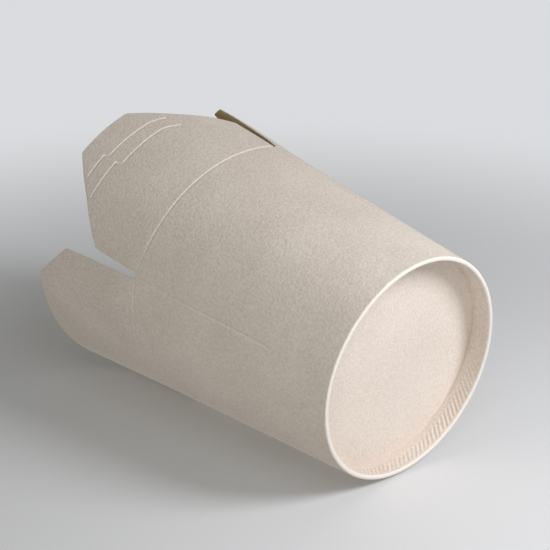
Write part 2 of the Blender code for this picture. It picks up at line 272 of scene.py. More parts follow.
def build_fibre_group():
    group = bpy.data.node_groups.new("paper_fibre", "ShaderNodeTree")
    for name, kind, way in FIBRE_SOCKETS:
        group.interface.new_socket(name=name, socket_type=kind, in_out=way)
    nodes, links = group.nodes, group.links
    inside = nodes.new("NodeGroupInput")
    outside = nodes.new("NodeGroupOutput")
    place = nodes.new("ShaderNodeTexCoord")

    clumps = nodes.new("ShaderNodeTexNoise")
    clumps.inputs["Detail"].default_value = 5.0
    clumps.inputs["Roughness"].default_value = 0.62
    links.new(place.outputs["Object"], clumps.inputs["Vector"])
    links.new(inside.outputs["Clump Scale"], clumps.inputs["Scale"])

    clouds = nodes.new("ShaderNodeTexNoise")
    clouds.inputs["Scale"].default_value = 42.0
    clouds.inputs["Detail"].default_value = 3.0
    links.new(place.outputs["Object"], clouds.inputs["Vector"])

    stretch = nodes.new("ShaderNodeMapping")
    stretch.inputs["Rotation"].default_value = (0.35, 0.2, 0.6)
    stretch.inputs["Scale"].default_value = (2600.0, 2600.0, 420.0)
    links.new(place.outputs["Object"], stretch.inputs["Vector"])
    fibres = nodes.new("ShaderNodeTexNoise")
    fibres.inputs["Scale"].default_value = 1.0
    fibres.inputs["Detail"].default_value = 2.0
    links.new(stretch.outputs["Vector"], fibres.inputs["Vector"])

    cloud_sway = calculate(group, "SUBTRACT", clouds.outputs["Fac"], 0.5)
    cloud_part = calculate(group, "MULTIPLY", cloud_sway, inside.outputs["Cloud Amount"])
    fibre_sway = calculate(group, "SUBTRACT", fibres.outputs["Fac"], 0.5)
    fibre_part = calculate(group, "MULTIPLY", fibre_sway, inside.outputs["Fibre Amount"])
    grain = calculate(group, "ADD", clumps.outputs["Fac"], fibre_part)
    tone = calculate(group, "ADD", grain, cloud_part)
    spread = nodes.new("ShaderNodeMapRange")
    spread.inputs["From Min"].default_value = 0.3
    spread.inputs["From Max"].default_value = 0.7
    links.new(tone, spread.inputs["Value"])
    colour = nodes.new("ShaderNodeMix")
    colour.data_type = "RGBA"
    links.new(spread.outputs["Result"], colour.inputs[0])
    links.new(inside.outputs["Dark Fibre"], colour.inputs[6])
    links.new(inside.outputs["Light Fibre"], colour.inputs[7])
    matt = nodes.new("ShaderNodeMapRange")
    matt.inputs["To Min"].default_value = 0.92
    matt.inputs["To Max"].default_value = 0.7
    links.new(tone, matt.inputs["Value"])
    links.new(colour.outputs[2], outside.inputs["Color"])
    links.new(grain, outside.inputs["Height"])
    links.new(matt.outputs["Result"], outside.inputs["Roughness"])
    return group


FIBRE = build_fibre_group()
print("Fibre group sockets:", [item.name for item in FIBRE.interface.items_tree])

# %% [markdown]
# ## Where board has been bent, it is paler, and painted highlights lie there too
# Pressing or folding board stretches its face, so the fibres open and look a little paler there. The
# same pale colour is also painted on as highlight: on the rim's fold, which faces the light, on the lit
# slope of the scores and of the wall's side creases, and as painted light on the shaded jogs. The wall
# and the flaps carry an attribute for it, and the material mixes in a pale colour by it: fully on the
# folded rim, by half along a firm score, by a third along the wall's side creases, and not at all where
# nothing was pressed. The attribute comes from the same rule as the groove, so the two always agree.

# %% How much a fold pales the board, and how much highlight is painted
# The score share is partly paler fibre and partly painted highlight. The side crease share is painted
# highlight on its lit slope, and the jog factor is painted light that lifts the jogs out of their shade.
SCORE_TINT_AND_HIGHLIGHT = 0.5
SIDE_CREASE_HIGHLIGHT = 0.36
JOG_PAINTED_LIGHT = 1.7
print("Pale share on a score, a side crease and a jog:", SCORE_TINT_AND_HIGHLIGHT, SIDE_CREASE_HIGHLIGHT, SCORE_TINT_AND_HIGHLIGHT * JOG_PAINTED_LIGHT)

# %% [markdown]
# ## Four kinds of board face
# The tub is cream outside and brown kraft inside. The base disc is set lighter than the wall: partly a
# whiter board of its own, partly painted light for the stronger light that falls on its face. A cut edge
# shows the pale core. All four share the fibre group, each with its own colours.

# %% Board materials
def board_material(
    name, light, dark, clump_scale, grain_depth, pale=None, cloud=0.3, fibre=0.3, shine=0.3,
):
    material = bpy.data.materials.new(name)
    material.use_nodes = True
    nodes, links = material.node_tree.nodes, material.node_tree.links
    shader = nodes["Principled BSDF"]
    shader.inputs["Specular IOR Level"].default_value = shine
    grain = nodes.new("ShaderNodeGroup")
    grain.node_tree = FIBRE
    grain.inputs["Light Fibre"].default_value = (*light, 1.0)
    grain.inputs["Dark Fibre"].default_value = (*dark, 1.0)
    grain.inputs["Clump Scale"].default_value = clump_scale
    grain.inputs["Cloud Amount"].default_value = cloud
    grain.inputs["Fibre Amount"].default_value = fibre
    bump = nodes.new("ShaderNodeBump")
    bump.inputs["Strength"].default_value = 1.0
    bump.inputs["Distance"].default_value = grain_depth
    links.new(grain.outputs["Height"], bump.inputs["Height"])
    links.new(bump.outputs["Normal"], shader.inputs["Normal"])
    links.new(grain.outputs["Roughness"], shader.inputs["Roughness"])
    if pale is None:
        links.new(grain.outputs["Color"], shader.inputs["Base Color"])
        return material
    # The attribute mixes in a pale colour: partly the paler fibre of a fold, partly a painted highlight.
    pale_and_highlight = nodes.new("ShaderNodeAttribute")
    pale_and_highlight.attribute_name = "pale_and_highlight"
    lighten = nodes.new("ShaderNodeMix")
    lighten.data_type = "RGBA"
    links.new(pale_and_highlight.outputs["Fac"], lighten.inputs[0])
    links.new(grain.outputs["Color"], lighten.inputs[6])
    lighten.inputs[7].default_value = (*pale, 1.0)
    links.new(lighten.outputs[2], shader.inputs["Base Color"])
    return material


cream_face = board_material(
    "cream_board_face", light=(0.815, 0.735, 0.66), dark=(0.655, 0.575, 0.505),
    clump_scale=1000.0, grain_depth=0.00024, pale=(0.93, 0.88, 0.82), cloud=0.4,
)
# The disc's colours are lighter than the wall's, partly as painted light for the stronger light on its
# face.
whiter_disc_face_with_painted_light = board_material(
    "base_disc_face", light=(0.92, 0.82, 0.75), dark=(0.785, 0.69, 0.62),
    clump_scale=1050.0, grain_depth=0.00025, pale=(0.92, 0.87, 0.81), cloud=0.35,
)
kraft_face = board_material(
    "kraft_inner_face", light=(0.49, 0.33, 0.11), dark=(0.39, 0.25, 0.075),
    clump_scale=520.0, grain_depth=0.00014, pale=(0.55, 0.40, 0.20), cloud=0.5, shine=0.06,
)
cut_edge = board_material(
    "cut_board_edge", light=(0.93, 0.89, 0.84), dark=(0.80, 0.73, 0.65),
    clump_scale=1500.0, grain_depth=0.00008,
)
print("Materials:", [m.name for m in (cream_face, whiter_disc_face_with_painted_light, kraft_face, cut_edge)])

# %% [markdown]
# ## The wall: one sheet from the band inside the base, round the rim and up to the creases
# On the real tub this is the main part of the blank. Its bottom edge is folded inwards and
# back up, so a short band of the same face shows inside the base. A cylinder could stand in
# for it, but the band, the rim and the wall are one run of board, so the sheet starts as a
# circle at the band's free edge and is dragged, ring by ring, down, round the rim and up.

# %% Drag the wall's rings
COLUMNS = 240
BAND_RADIUS = 0.0408
BAND_TOP = 0.0086
KNURL_LOW = 0.0010
KNURL_HIGH = 0.0063
RIM_HEIGHT = 0.0009
RIM_STEPS = 14
RIM_ROUND = 0.75


def rim_ring(turn):
    """Radius and height on the rounded rim, from the band (0) to the wall (1)."""
    angle = math.pi * turn
    centre = (BAND_RADIUS + BASE_RADIUS) / 2
    half = BASE_RADIUS - centre + (RIM_HEIGHT * TAPER if turn > 0.5 else 0.0)
    across = math.copysign(abs(math.cos(angle)) ** RIM_ROUND, math.cos(angle))
    return centre - half * across, RIM_HEIGHT * (1.0 - math.sin(angle) ** RIM_ROUND)


band_heights = [0.0083, 0.0078, 0.0072, 0.0066, 0.0063, 0.0061, 0.0057, 0.0050, 0.0042, 0.0034]
band_heights += [0.0026, 0.0019, 0.0014, 0.0012, 0.0010]
wall_heights = [0.0015, 0.0024, 0.0038, 0.0055, 0.0075] + [0.0100 + 0.003 * i for i in range(6)]
wall_heights += [0.0276, 0.0283, 0.0290, 0.0297, 0.0310] + [0.0340 + 0.003 * i for i in range(18)]
wall_heights += [0.0880, 0.0886, 0.0888]
below_crease = [0.0026, 0.0017, 0.0011, 0.0008, 0.0006, 0.00047, 0.00036, 0.00027, 0.00018, 0.00009, 0.0]
wall_rings = [(BAND_RADIUS, z) for z in band_heights]
wall_rings += [rim_ring(i / RIM_STEPS) for i in range(RIM_STEPS + 1)]
wall_rings += [(cone_radius(z), z) for z in wall_heights]
wall_rings += [(cone_radius(CREASE_HEIGHT - d), CREASE_HEIGHT - d) for d in below_crease]

start_clean()
bpy.ops.mesh.primitive_circle_add(vertices=COLUMNS, radius=BAND_RADIUS, location=(0, 0, BAND_TOP))
wall_board = name_piece("wall_board")
bpy.ops.object.transform_apply(location=True, rotation=True, scale=True)
bpy.ops.object.mode_set(mode="EDIT")
bpy.ops.mesh.select_mode(type="EDGE")
bpy.ops.mesh.select_all(action="SELECT")
radius, height = BAND_RADIUS, BAND_TOP
for next_radius, next_height in wall_rings:
    grow = next_radius / radius
    drag_ring((0, 0, next_height - height), (grow, grow, 1), (0, 0, next_height))
    radius, height = next_radius, next_height
bpy.ops.object.mode_set(mode="OBJECT")
print("Wall rings:", len(wall_rings) + 1, "faces:", len(wall_board.data.polygons))

# %% [markdown]
# ## Make the sheet fine where something is cut or pressed
# The rings have one column each 1.5 degrees, which is enough for the cone but too coarse for a
# slit 2.2 mm wide or a flute 2 mm wide. Instead of making the whole sheet dense, only the
# columns at the four slits and at the glued lap are split, and those of the knurled band.

# %% Line up the columns with the slits, then split them
LAP_EDGE = math.radians(40.8)
LAP_FOOT = math.radians(30.6)
LAP_EDGE_COLUMNS = (math.radians(40.5), math.radians(42.0))
LAP_FOOT_COLUMNS = (math.radians(30.0), math.radians(36.0))
SIDE_CREASE_FOOT = 0.0275
UNIFORM_STEP = 2 * math.pi / COLUMNS
LINE_UP_FADE = (0.010, 0.022)


def is_outer(co):
    return co.xy.length > (BAND_RADIUS + BASE_RADIUS) / 2


def line_up(co):
    """Shifts a column by up to a degree, so that two columns meet each slit's sides."""
    if not is_outer(co):
        return co
    angle = math.atan2(co.y, co.x)
    away, half = nearest_flap(angle)
    even_half = round((half - UNIFORM_STEP / 2) / UNIFORM_STEP) * UNIFORM_STEP
    share = smooth(*LINE_UP_FADE, co.z)
    turned = angle + away * ((half - SLIT_ANGLE) / even_half - 1.0) * share
    return Vector((co.xy.length * math.cos(turned), co.xy.length * math.sin(turned), co.z))


def level(places):
    return abs(places[0].z - places[1].z) < 1e-6


def mid_angle(places):
    middle = sum((Vector(p) for p in places), Vector()) / len(places)
    return math.atan2(middle.y, middle.x)


def at_slit(places):
    """The column at a slit, and the next one, where the wall's own crease runs down."""
    away, half = nearest_flap(mid_angle(places))
    reach = SLIT_ANGLE if half == CORNER else SLIT_ANGLE + UNIFORM_STEP
    return level(places) and places[0].z > SIDE_CREASE_FOOT and half - abs(away) < reach


def at_lap_edge(places):
    first, last = LAP_EDGE_COLUMNS
    return level(places) and is_outer(places[0]) and first < mid_angle(places) < last


def at_lap_foot(places):
    first, last = LAP_FOOT_COLUMNS
    return level(places) and is_outer(places[0]) and first < mid_angle(places) < last


def in_band(places):
    low, high = KNURL_LOW - 1e-5, KNURL_HIGH + 1e-5
    return level(places) and not is_outer(places[0]) and low < places[0].z < high


for vertex in wall_board.data.vertices:
    vertex.co = line_up(vertex.co)
print("Slit edges split:", split_edges(wall_board, 13, at_slit))
print("Lap edge's edges split:", split_edges(wall_board, 9, at_lap_edge))
print("Lap foot's edges split:", split_edges(wall_board, 1, at_lap_foot))
print("Band edges split:", split_edges(wall_board, 3, in_band))

# %% [markdown]
# ## Press the wall: creases, slit ends and lap
# - Each flap's foot is a curved crease, and the wall ends in the bottom of that groove.
# - A slit parts two flaps and ends in a small round, so that the board doesn't tear.
# - A crease runs down the wall beside each slit, which lets the mouth go square when it's shut.
#   It is broad and soft, and grows fainter towards the mouth.
# - The side lap is where one end of the blank is glued over the other: a soft rise, then a
#   sharp step at the cut edge. It isn't seen in the photograph, so it lies on the hidden side.
# Each of these is a small, exact change of height or radius, so one rule places every vertex.

# %% Place every point of the wall
WALL_CURVE_FOOT = 0.070
SLIT_DIP_FOOT = 0.0886
WALL_TINT_AND_HIGHLIGHT = 0.3
SIDE_CREASE_START = (0.0293 - 0.0005, 0.0293 + 0.0005)
SIDE_CREASE_FADES = ((0.040, 0.075), (0.076, 0.091))
SIDE_CREASE_LOSSES = (0.4, 0.6)
SIDE_CREASE_ASIDE = 0.00065
SIDE_CREASE_HALF = 0.00095
SIDE_CREASE_DEPTH = 0.00052
# Where the side crease's painted highlight lies, beside its groove, and how wide it is.
SIDE_HIGHLIGHT_ASIDE = 0.00035
SIDE_HIGHLIGHT_HALF = 0.0007
LAP_STEP = 0.0003
LAP_TOP = 0.0887
LAP_RAMP = math.radians(3.0)
LAP_CUT = math.radians(0.15)
LAP_START = 0.0024


def side_crease_strength(z):
    """How firm the wall's side creases are at a height: full low down, nothing at the mouth."""
    lower, upper = (loss * smooth(*fade, z) for loss, fade in zip(SIDE_CREASE_LOSSES, SIDE_CREASE_FADES))
    return smooth(*SIDE_CREASE_START, z) * (1.0 - lower - upper)


def lap_rise(angle, z):
    """How far the lap stands out: a soft ramp on one side, and a sharp step on the other."""
    if z >= LAP_TOP:
        return 0.0
    ramp = smooth(LAP_FOOT, LAP_FOOT + LAP_RAMP, angle)
    cut = 1.0 - min(max((angle - LAP_EDGE) / LAP_CUT, 0.0), 1.0)
    return LAP_STEP * ramp * cut * smooth(0.0, LAP_START, z)


def wall_point(co):
    """Where a point of the plain cone goes, and how pale it is painted, for paler fibre and as painted
    highlight.
    """
    angle = math.atan2(co.y, co.x)
    away, half = nearest_flap(angle)
    from_corner = (half - abs(away)) * cone_radius(co.z)
    near_top = smooth(WALL_CURVE_FOOT, CREASE_HEIGHT, co.z)
    z = co.z + CREASE_RISE * (away / half) ** 2 * near_top
    edge = crease_z(away, half)
    if from_corner < SLIT_RADIUS:
        round_end = SLIT_CENTRE - math.sqrt(SLIT_RADIUS ** 2 - from_corner ** 2)
        z -= max(edge - round_end, 0.0) * smooth(SLIT_DIP_FOOT, CREASE_HEIGHT, co.z)
    beside_slit = smooth(0.0, SLIT_RADIUS, from_corner)
    strength = crease_strength(away, half)
    mouth_groove = groove(edge - z) * beside_slit * strength
    down_wall = side_crease_strength(co.z)
    to_crease = (-from_corner if half == CORNER else from_corner) - SIDE_CREASE_ASIDE
    side_groove = groove(to_crease, SIDE_CREASE_HALF, SIDE_CREASE_DEPTH) * down_wall
    depth = max(mouth_groove, side_groove)
    # The mouth crease's pale colour on the wall: partly paler fibre, partly painted highlight.
    mouth_tint_and_highlight = WALL_TINT_AND_HIGHLIGHT * SCORE_TINT_AND_HIGHLIGHT * strength if half == CORNER else 0.0
    paleness = mouth_tint_and_highlight * mouth_groove / SCORE_DEPTH
    # Beside the side crease, shifted onto its lit slope: a painted highlight.
    paleness += SIDE_CREASE_HIGHLIGHT * down_wall * groove(to_crease - SIDE_HIGHLIGHT_ASIDE, SIDE_HIGHLIGHT_HALF, 1.0)
    rise = lap_rise(angle, co.z)
    out, swing = square_up(angle, z)
    radius = cone_radius(z) - depth + rise + out
    angle += swing
    return Vector((radius * math.cos(angle), radius * math.sin(angle), z)), paleness


strengths = [round(side_crease_strength(z / 1000), 2) for z in (20, 35, 60, 90)]
print("Side crease strength 20, 35, 60 and 90 mm up:", strengths)

# %% [markdown]
# ## Knurl the band, and press the sheet
# The knurl is a ring of slanted flutes that a toothed wheel rolls into the band. One flute could be
# modelled and copied round, but the flutes are part of the sheet, so a wave in the band's radius makes
# them. It is raised to a power, so that the valleys are sharper than the ridges, fades at both ends, and
# turns with height, because the flutes are slanted. The free edge above them is a little puckered and
# leans out towards the disc's skirt. The rim itself is painted pale, partly because the whole board is
# stretched there and partly as a painted highlight on the fold, which faces the light.

# %% Knurl and press
KNURL_COUNT = 120
KNURL_SLANT = math.radians(6.0)
KNURL_DEPTH = 0.00034
KNURL_PROUD = 0.00013
KNURL_SHARP = 1.4
KNURL_ENDS = 0.12
PUCKER = 0.00006
PUCKER_FAST = 17.0
PUCKER_SLOW = 7.0
PUCKER_SHIFT = 1.3
PUCKER_FOOT = 0.004
EDGE_LEAN = 0.0002
EDGE_LEAN_FOOT = 0.0062
PALE_RIM_LOW = 0.0001
PALE_RIM_OUTSIDE = 0.6


def band_point(co):
    """Where a point of the plain band goes. Nothing pales it there."""
    angle = math.atan2(co.y, co.x)
    along = min(max((co.z - KNURL_LOW) / (KNURL_HIGH - KNURL_LOW), 0.0), 1.0)
    ends = smooth(0.0, KNURL_ENDS, along) * smooth(0.0, KNURL_ENDS, 1.0 - along)
    wave = 0.5 - 0.5 * math.cos(angle * KNURL_COUNT)
    flute = (KNURL_DEPTH * wave ** KNURL_SHARP - KNURL_PROUD) * ends
    pucker = PUCKER * math.sin(angle * PUCKER_FAST + PUCKER_SHIFT) * math.sin(angle * PUCKER_SLOW)
    pucker *= smooth(PUCKER_FOOT, BAND_TOP, co.z)
    lean = EDGE_LEAN * smooth(EDGE_LEAN_FOOT, BAND_TOP, co.z)
    radius = co.xy.length + flute + pucker + lean
    turned = angle - KNURL_SLANT * along
    return Vector((radius * math.cos(turned), radius * math.sin(turned), co.z)), 0.0


pale_and_highlight = []
for vertex in wall_board.data.vertices:
    outer = is_outer(vertex.co)
    if vertex.co.z > RIM_HEIGHT + 1e-6:
        vertex.co, press = wall_point(vertex.co) if outer else band_point(vertex.co)
    else:
        # On the rim the pale colour is partly stretched board and partly a painted highlight on the
        # fold.
        pale_top = RIM_HEIGHT * (PALE_RIM_OUTSIDE if outer else 1.0)
        press = 1.0 - smooth(PALE_RIM_LOW, pale_top, vertex.co.z)
    pale_and_highlight.append(press)
attribute = wall_board.data.attributes.new("pale_and_highlight", "FLOAT", "POINT")
attribute.data.foreach_set("value", pale_and_highlight)
# Counts the points that are painted pale or highlighted.
print("Pressed points:", sum(p > 0.01 for p in pale_and_highlight), "of", len(pale_and_highlight))

# %% [markdown]
# ## From a surface to board
# The sheet so far has no thickness. Solidify grows it inwards by 0.4 mm, so its outer face
# stays where it was measured, and gives the new inner side and the cut edges their own
# materials: this board is cream outside and brown kraft inside, with pale cut edges. A fine
# bevel then takes the knife sharpness off the edges, as no real edge is perfectly sharp.

# %% Thicken and finish a sheet
SOFT_EDGE = 0.00007


def triangle_count(piece):
    return sum(len(f.vertices) - 2 for f in piece.data.polygons)


def finish_board(piece, faces):
    """Gives a sheet its thickness, materials and soft edges. The faces are outer, inner, edge."""
    for material in faces:
        piece.data.materials.append(material)
    apply(
        piece, "SOLIDIFY", thickness=BOARD, offset=-1.0, use_even_offset=True,
        thickness_clamp=0.0, material_offset=1, material_offset_rim=2,
    )
    apply(
        piece, "BEVEL", width=SOFT_EDGE, segments=2, limit_method="ANGLE",
        angle_limit=math.radians(62.0), use_clamp_overlap=True,
    )
    start_clean()
    piece.select_set(True)
    bpy.context.view_layer.objects.active = piece
    bpy.ops.object.shade_smooth_by_angle(angle=math.radians(40.0))
    print(piece.name, "has", triangle_count(piece), "triangles")


face_out(wall_board, (0, 0, 0.05))
finish_board(wall_board, (cream_face, kraft_face, cut_edge))
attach(wall_board, "tub")
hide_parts("side_wall")

# %% [markdown]
# ## The base disc
# A separate round of board closes the base. It is pressed to a shallow tray: its rim turns
# down into the fold, where the knurl grips it. Seen from below it is a flat disc with a fine
# dark seam round it. It starts as a circle at the skirt's lower edge that is dragged up, over
# the bend and inwards in rings, and a last face closes its middle.

# %% Model the disc
DISC_HEIGHT = 0.0089
DISC_BOARD = 0.00035
DISC_BEND = 0.0005
BEND_STEPS = 6
SKIRT_GAP = 0.000275
SKIRT_RADIUS = BAND_RADIUS + BOARD + SKIRT_GAP
SKIRT_LOW = BOARD + 0.0005

disc_rings = [(SKIRT_RADIUS, 0.0035), (SKIRT_RADIUS, 0.0060), (SKIRT_RADIUS, DISC_HEIGHT - DISC_BEND)]
for step in range(1, BEND_STEPS + 1):
    turn = math.pi / 2 * step / BEND_STEPS
    across = SKIRT_RADIUS - DISC_BEND * (1.0 - math.cos(turn))
    disc_rings.append((across, DISC_HEIGHT - DISC_BEND * (1.0 - math.sin(turn))))
disc_rings += [(0.0402, DISC_HEIGHT), (0.0385, DISC_HEIGHT)]
disc_rings += [(0.004 * i, DISC_HEIGHT) for i in range(9, 0, -1)]

start_clean()
bpy.ops.mesh.primitive_circle_add(vertices=180, radius=SKIRT_RADIUS, location=(0, 0, SKIRT_LOW))
base_board = name_piece("base_board")
bpy.ops.object.transform_apply(location=True, rotation=True, scale=True)
pick(base_board, "EDGE", lambda places: True)
radius, height = SKIRT_RADIUS, SKIRT_LOW
for next_radius, next_height in disc_rings:
    grow = next_radius / radius
    drag_ring((0, 0, next_height - height), (grow, grow, 1), (0, 0, next_height))
    radius, height = next_radius, next_height
bpy.ops.mesh.edge_face_add()
bpy.ops.object.mode_set(mode="OBJECT")
print("Disc faces:", len(base_board.data.polygons))

# %% [markdown]
# ## Thicken the disc upwards
# The measured face of the disc is the one that is seen from below, so its normals must point
# down and towards the axis before it gets its thickness on the other side.

# %% Finish the disc
start_clean()
base_board.select_set(True)
bpy.context.view_layer.objects.active = base_board
top_face = max(base_board.data.polygons, key=lambda f: len(f.vertices))
if top_face.normal.z > 0:
    base_board.data.flip_normals()
for material in (whiter_disc_face_with_painted_light, kraft_face, cut_edge):
    base_board.data.materials.append(material)
apply(
    base_board, "SOLIDIFY", thickness=DISC_BOARD, offset=-1.0, use_even_offset=True,
    material_offset=1, material_offset_rim=2,
)
bpy.ops.object.shade_smooth_by_angle(angle=math.radians(40.0))
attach(base_board, "tub")
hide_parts("base_disc")
print(base_board.name, "has", triangle_count(base_board), "triangles")

# %% [markdown]
# ## The four flaps, cut flat and then rolled
# A flap is the part of the blank above a crease. Its outline is simplest on the flat blank:
# straight sides beside the slits, corners cut off, and a level end. So each flap starts as a
# flat strip along its foot and is dragged up row by row, each row scaled to the outline's
# width there. The scores are then pressed in, and at last the flat flap is rolled onto the
# cone, as the whole blank is on the real tub. There are two shapes, a wide and a narrow one.

# %% Outline of a flap
WIDE_SIDE_RISE = 0.0235
NEARLY_STRAIGHT = math.radians(172)
ARC_STEPS = 8
WIDE = {
    "half": CORNER, "end_z": CREASE_HEIGHT + 0.0516, "side_z": CREASE_HEIGHT + WIDE_SIDE_RISE,
    "spread": 0.0029, "end_width": 0.0240, "hollow": 0.0009, "columns": 62, "round": 0.0017,
}
NARROW = {
    "half": SIDE_CORNER, "end_z": CREASE_HEIGHT + 0.0518, "side_z": CREASE_HEIGHT + 0.0377,
    "spread": 0.0023, "end_width": 0.0484, "hollow": 0.0, "columns": 56, "round": 0.0016,
}
SCALE = cone_radius(CREASE_HEIGHT)


def rounded(points, radius):
    """An open outline with each inner corner replaced by a short arc."""
    result = [points[0]]
    for before, corner, after in zip(points, points[1:], points[2:]):
        towards = (before - corner).normalized()
        away = (after - corner).normalized()
        turn = towards.angle(away)
        if turn > NEARLY_STRAIGHT:
            result.append(corner)
            continue
        shorter = min((before - corner).length, (after - corner).length)
        back = min(radius / math.tan(turn / 2), shorter / 2)
        start, end = corner + towards * back, corner + away * back
        for step in range(ARC_STEPS + 1):
            t = step / ARC_STEPS
            result.append(start * (1 - t) ** 2 + corner * 2 * t * (1 - t) + end * t ** 2)
    result.append(points[-1])
    return result


def half_outline(shape):
    """Right side of a flap's outline, from its foot to its end, as (width, height) points."""
    round_z = SLIT_CENTRE - CREASE_RISE
    slit_round = []
    for step in range(ARC_STEPS + 1):
        below = (round_z - CREASE_HEIGHT) * (1.0 - step / ARC_STEPS)
        gap = math.sqrt(SLIT_RADIUS ** 2 - below ** 2) / cone_radius(SLIT_CENTRE)
        slit_round.append(Vector(((shape["half"] - gap) * SCALE, round_z - below)))
    side_angle = shape["half"] - shape["spread"] / cone_radius(shape["side_z"])
    side = Vector((side_angle * SCALE, shape["side_z"]))
    end = Vector((shape["end_width"] / 2 / cone_radius(shape["end_z"]) * SCALE, shape["end_z"]))
    slope = (end - side).normalized()
    hollow = (side + end) / 2 - Vector((slope.y, -slope.x)) * shape["hollow"]
    upper = rounded([slit_round[-1], side, hollow, end, Vector((0.0, shape["end_z"]))], shape["round"])
    return slit_round[:-1] + upper


def width_at(outline, z):
    """Half width of the outline at a height."""
    for low, high in zip(outline, outline[1:]):
        if low.y <= z < high.y:
            return low.x + (high.x - low.x) * (z - low.y) / (high.y - low.y)
    return outline[-2].x


for name, shape in (("wide", WIDE), ("narrow", NARROW)):
    shape["outline"] = half_outline(shape)
    print(name, "flap:", round(shape["outline"][0].x * 2000, 1), "mm at its foot,",
          round((shape["end_z"] - CREASE_HEIGHT) * 1000, 1), "mm long")

# %% [markdown]
# ## Drag a flap up from its foot
# Rows lie close together next to the creases and at the rounded corners, and about 1.4 mm apart
# between. The foot has just as many columns as the wall has between two slits, so the flap
# and the wall meet point for point in the crease and no gap shows.

# %% Flat flap
NEAR_FOOT = [0.00009, 0.00018, 0.00027, 0.00036, 0.00047, 0.0006, 0.0008, 0.0011, 0.0016]
NEAR_SECOND = [0.00205, 0.0022, 0.0023, 0.0024, 0.0025, 0.0026, 0.0027, 0.0028, 0.00295, 0.0033, 0.0040]
NEAR_SIDE = [-0.0010, -0.0006, -0.0003, 0.0, 0.0003, 0.0006, 0.0010]
NEAR_END = [0.0024, 0.0017, 0.0012, 0.0008, 0.0005, 0.0003, 0.00015, 0.00006, 0.0]
EVEN_FROM = 0.0052
EVEN_STEP = 0.0014
EVEN_SPARE = 0.0062
LEAST_GAP = 0.00005


def flap_rows(shape):
    """Heights of a flap's rows above its foot, with none too close to the one before."""
    rise = shape["end_z"] - CREASE_HEIGHT
    side = shape["side_z"] - CREASE_HEIGHT
    rows = NEAR_FOOT + NEAR_SECOND
    rows += [EVEN_FROM + EVEN_STEP * i for i in range(int((rise - EVEN_SPARE) / EVEN_STEP))]
    rows += [side + step for step in NEAR_SIDE]
    rows += [rise - step for step in NEAR_END]
    kept = []
    for row in sorted(set(rows)):
        if not kept or row - kept[-1] > LEAST_GAP:
            kept.append(row)
    return kept


def flat_flap(name, shape):
    """Drags a flat flap up, row by row, in the plane z = 0, with its height along Y."""
    start_clean()
    outline, columns = shape["outline"], shape["columns"]
    width = outline[0].x
    bpy.ops.mesh.primitive_grid_add(x_subdivisions=columns, y_subdivisions=1, size=1.0)
    piece = name_piece(name)
    bpy.ops.transform.resize(value=(2 * width, NEAR_FOOT[0], 1), center_override=(0, 0, 0))
    bpy.ops.transform.translate(value=(0, CREASE_HEIGHT + NEAR_FOOT[0] / 2, 0))
    bpy.ops.object.transform_apply(location=True, rotation=True, scale=True)
    height = CREASE_HEIGHT + NEAR_FOOT[0]
    pick(piece, "EDGE", lambda places: all(p.y > height - 1e-7 for p in places))
    for row in flap_rows(shape)[1:]:
        next_height = CREASE_HEIGHT + row
        next_width = width_at(outline, next_height)
        drag_ring((0, next_height - height, 0), (next_width / width, 1, 1), (0, next_height, 0))
        height, width = next_height, next_width
    bpy.ops.object.mode_set(mode="OBJECT")
    print(name, "has", len(piece.data.polygons), "flat faces")
    return piece


front_board = flat_flap("front_flap_board", WIDE)
back_board = flat_flap("back_flap_board", WIDE)
left_board = flat_flap("left_flap_board", NARROW)
right_board = flat_flap("right_flap_board", NARROW)

# %% [markdown]
# ## The lock scores on the front flap
# Two scores cross the front flap. Each is level, steps down by 2 mm at a jog, runs on, and
# bends back towards the crease at its end. The opposite flap's tip tucks in behind them when
# the tub is shut. The faces within 1.3 mm of a score are split finely, and the rest stays as
# it is, so the scores cost little.

# %% Routes of the scores
LOCK_JOG = math.radians(-8.3)
JOG_HALF = math.radians(0.45)
LOCK_STEP = 0.0021
HOOK_START = 15.0
HOOK_LENGTH = 6.6
HOOK_CURVE = 1.3
HOOK_STEPS = 12
LOCK_REACH = 0.0013


def lock_route(start, distance, sag, drop):
    """A lock score as (across, height) points. It sags at its jog and drops in its hook."""
    high = CREASE_HEIGHT + distance
    low = high - LOCK_STEP
    route = [(math.radians(start), high), (LOCK_JOG - JOG_HALF, high), (LOCK_JOG + JOG_HALF, low - sag)]
    for step in range(HOOK_STEPS + 1):
        t = step / HOOK_STEPS
        route.append((math.radians(HOOK_START + HOOK_LENGTH * t), low - drop * t ** HOOK_CURVE))
    return [Vector((angle * SCALE, z)) for angle, z in route]


def distance_to(route, point):
    """Shortest distance from a point to a route of straight pieces."""
    best = 1.0
    for start, end in zip(route, route[1:]):
        run = end - start
        t = min(max((point - start).dot(run) / run.length_squared, 0.0), 1.0)
        best = min(best, (start + run * t - point).length)
    return best


def distance_to_any(routes, point):
    return min(distance_to(route, point) for route in routes)


locks = [
    lock_route(start=-19.4, distance=0.0419, sag=0.0, drop=0.0017),
    lock_route(start=-26.2, distance=0.0352, sag=0.0009, drop=0.0027),
]


def near_lock(places):
    middle = sum((Vector(p) for p in places), Vector()) / len(places)
    return distance_to_any(locks, middle.xy) < LOCK_REACH


chosen = pick(front_board, "FACE", near_lock)
bpy.ops.mesh.subdivide(number_cuts=8, quadcorner="INNERVERT")
bpy.ops.object.mode_set(mode="OBJECT")
print("Faces split along the locks:", chosen, "now", len(front_board.data.polygons))

# %% [markdown]
# ## Press a flap
# The scores go in before the flap is rolled, because their places are simplest on the flat blank. The
# narrow flaps have a second crease just above the first, which lets them fold over the food before the
# wide flaps close on top. The pale colour is painted strongest at the jogs, as painted light that lifts
# them out of their shade, and just above a lock score rather than in its bottom, as a painted highlight
# on the slope that faces the light.

